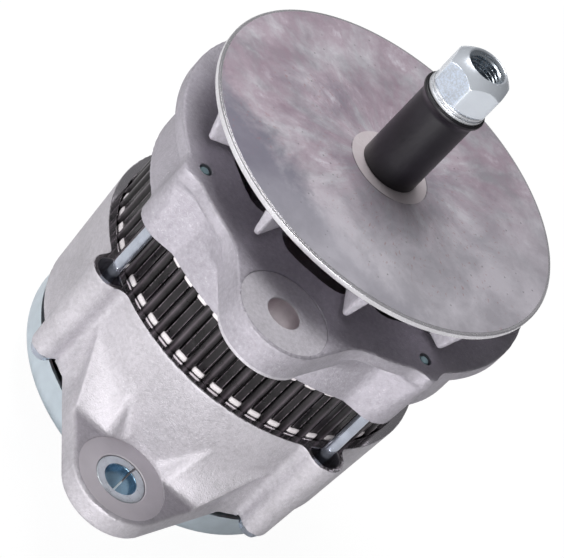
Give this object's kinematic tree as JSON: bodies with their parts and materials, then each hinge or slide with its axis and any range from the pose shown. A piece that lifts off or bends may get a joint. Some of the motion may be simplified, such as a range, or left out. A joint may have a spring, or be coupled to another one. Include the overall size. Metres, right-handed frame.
{
  "type": "engine alternator",
  "caption": "Hinge-mounted engine alternator with an outside fan, an open ridged stator between two cast housings, and a dished rear cover.",
  "frame": {"origin": "centre of the mouth of the drive-end hinge bore, on its machined face", "axes": "+Z runs along the shaft towards the drive end; the shaft axis lies on +Y from the hinge; +X completes a right-handed frame"},
  "size_m": [0.162, 0.2167, 0.229],
  "materials": {
    "cast_aluminium": "sand-textured casting with machined faces",
    "fan_casting": "mottled casting with a turned rim",
    "core_paint": "satin black paint",
    "winding_copper": "red insulating varnish",
    "zinc_steel": "blue-white zinc plating",
    "bearing_steel": "ground",
    "black_steel": "black oxide, satin",
    "shaft_steel": "ground",
    "rotor_steel": "varnished steel",
    "coil_varnish": "varnished wire",
    "seal_rubber": "matte",
    "ring_copper": "turned",
    "moulded_plastic": "moulded",
    "brush_carbon": "carbon",
    "plate_aluminium": "stamped"
  },
  "bodies": {
    "housing": {"bearing_retainer": "zinc_steel", "brush_holder": "moulded_plastic", "brush_holder_posts": "shaft_steel", "brush_holder_screws": "zinc_steel", "capacitor": "plate_aluminium", "capacitor_clamp": "zinc_steel", "capacitor_screw": "zinc_steel", "cover_screws": "zinc_steel", "cover_standoffs": "zinc_steel", "drive_bearing_balls": "bearing_steel", "drive_bearing_outer_ring": "bearing_steel", "drive_bearing_seals": "seal_rubber", "drive_end_housing": "cast_aluminium", "ground_screw": "zinc_steel", "negative_diodes": "bearing_steel", "negative_plate_posts": "shaft_steel", "negative_plate_screws": "zinc_steel", "negative_rectifier_plate": "plate_aluminium", "output_insulator": "moulded_plastic", "output_nut": "zinc_steel", "output_stud": "zinc_steel", "phase_leads": "winding_copper", "positive_diodes": "bearing_steel", "positive_plate_posts": "moulded_plastic", "positive_plate_screws": "zinc_steel", "positive_rectifier_plate": "plate_aluminium", "rear_bearing_balls": "bearing_steel", "rear_bearing_outer_ring": "bearing_steel", "rear_bearing_seals": "seal_rubber", "rear_cover": "zinc_steel", "regulator_screws": "zinc_steel", "retainer_screws": "zinc_steel", "slip_ring_end_housing": "cast_aluminium", "stator_core": "core_paint", "stator_winding": "winding_copper", "through_bolts": "zinc_steel", "voltage_regulator": "moulded_plastic"},
    "rotor": {"rotor_shaft": "shaft_steel", "fan": "fan_casting", "fan_key": "shaft_steel", "fan_spacer": "shaft_steel", "shaft_sleeve": "black_steel", "nut_washer": "zinc_steel", "pulley_nut": "zinc_steel", "front_pole_piece": "rotor_steel", "rear_pole_piece": "rotor_steel", "rotor_core": "rotor_steel", "field_coil": "coil_varnish", "coil_bobbin": "moulded_plastic", "slip_ring_hub": "moulded_plastic", "slip_ring_front": "ring_copper", "slip_ring_rear": "ring_copper", "drive_bearing_inner_ring": "bearing_steel", "rear_bearing_inner_ring": "bearing_steel"},
    "bushing": {"hinge_bushing": "zinc_steel"},
    "front_brush": {"brush_front": "brush_carbon", "brush_spring_front": "bearing_steel"},
    "rear_brush": {"brush_rear": "brush_carbon", "brush_spring_rear": "bearing_steel"}
  },
  "joints": [
    {"name": "rotor_spin", "type": "hinge", "parent": "housing", "child": "rotor", "pos_m": [0, 0.0892, 0], "axis": [0, 0, 1], "continuous": true},
    {"name": "bushing_slide", "type": "slide", "parent": "housing", "child": "bushing", "axis": [0, 0, 1], "range_m": [0, 0.003]},
    {"name": "front_brush_slide", "type": "slide", "parent": "housing", "child": "front_brush", "axis": [0, 1, 0], "range_m": [0, 0.002], "stiffness_N_per_m": 200, "springref_m": -0.01},
    {"name": "rear_brush_slide", "type": "slide", "parent": "housing", "child": "rear_brush", "axis": [0, 1, 0], "range_m": [0, 0.002], "stiffness_N_per_m": 200, "springref_m": -0.01}
  ]
}
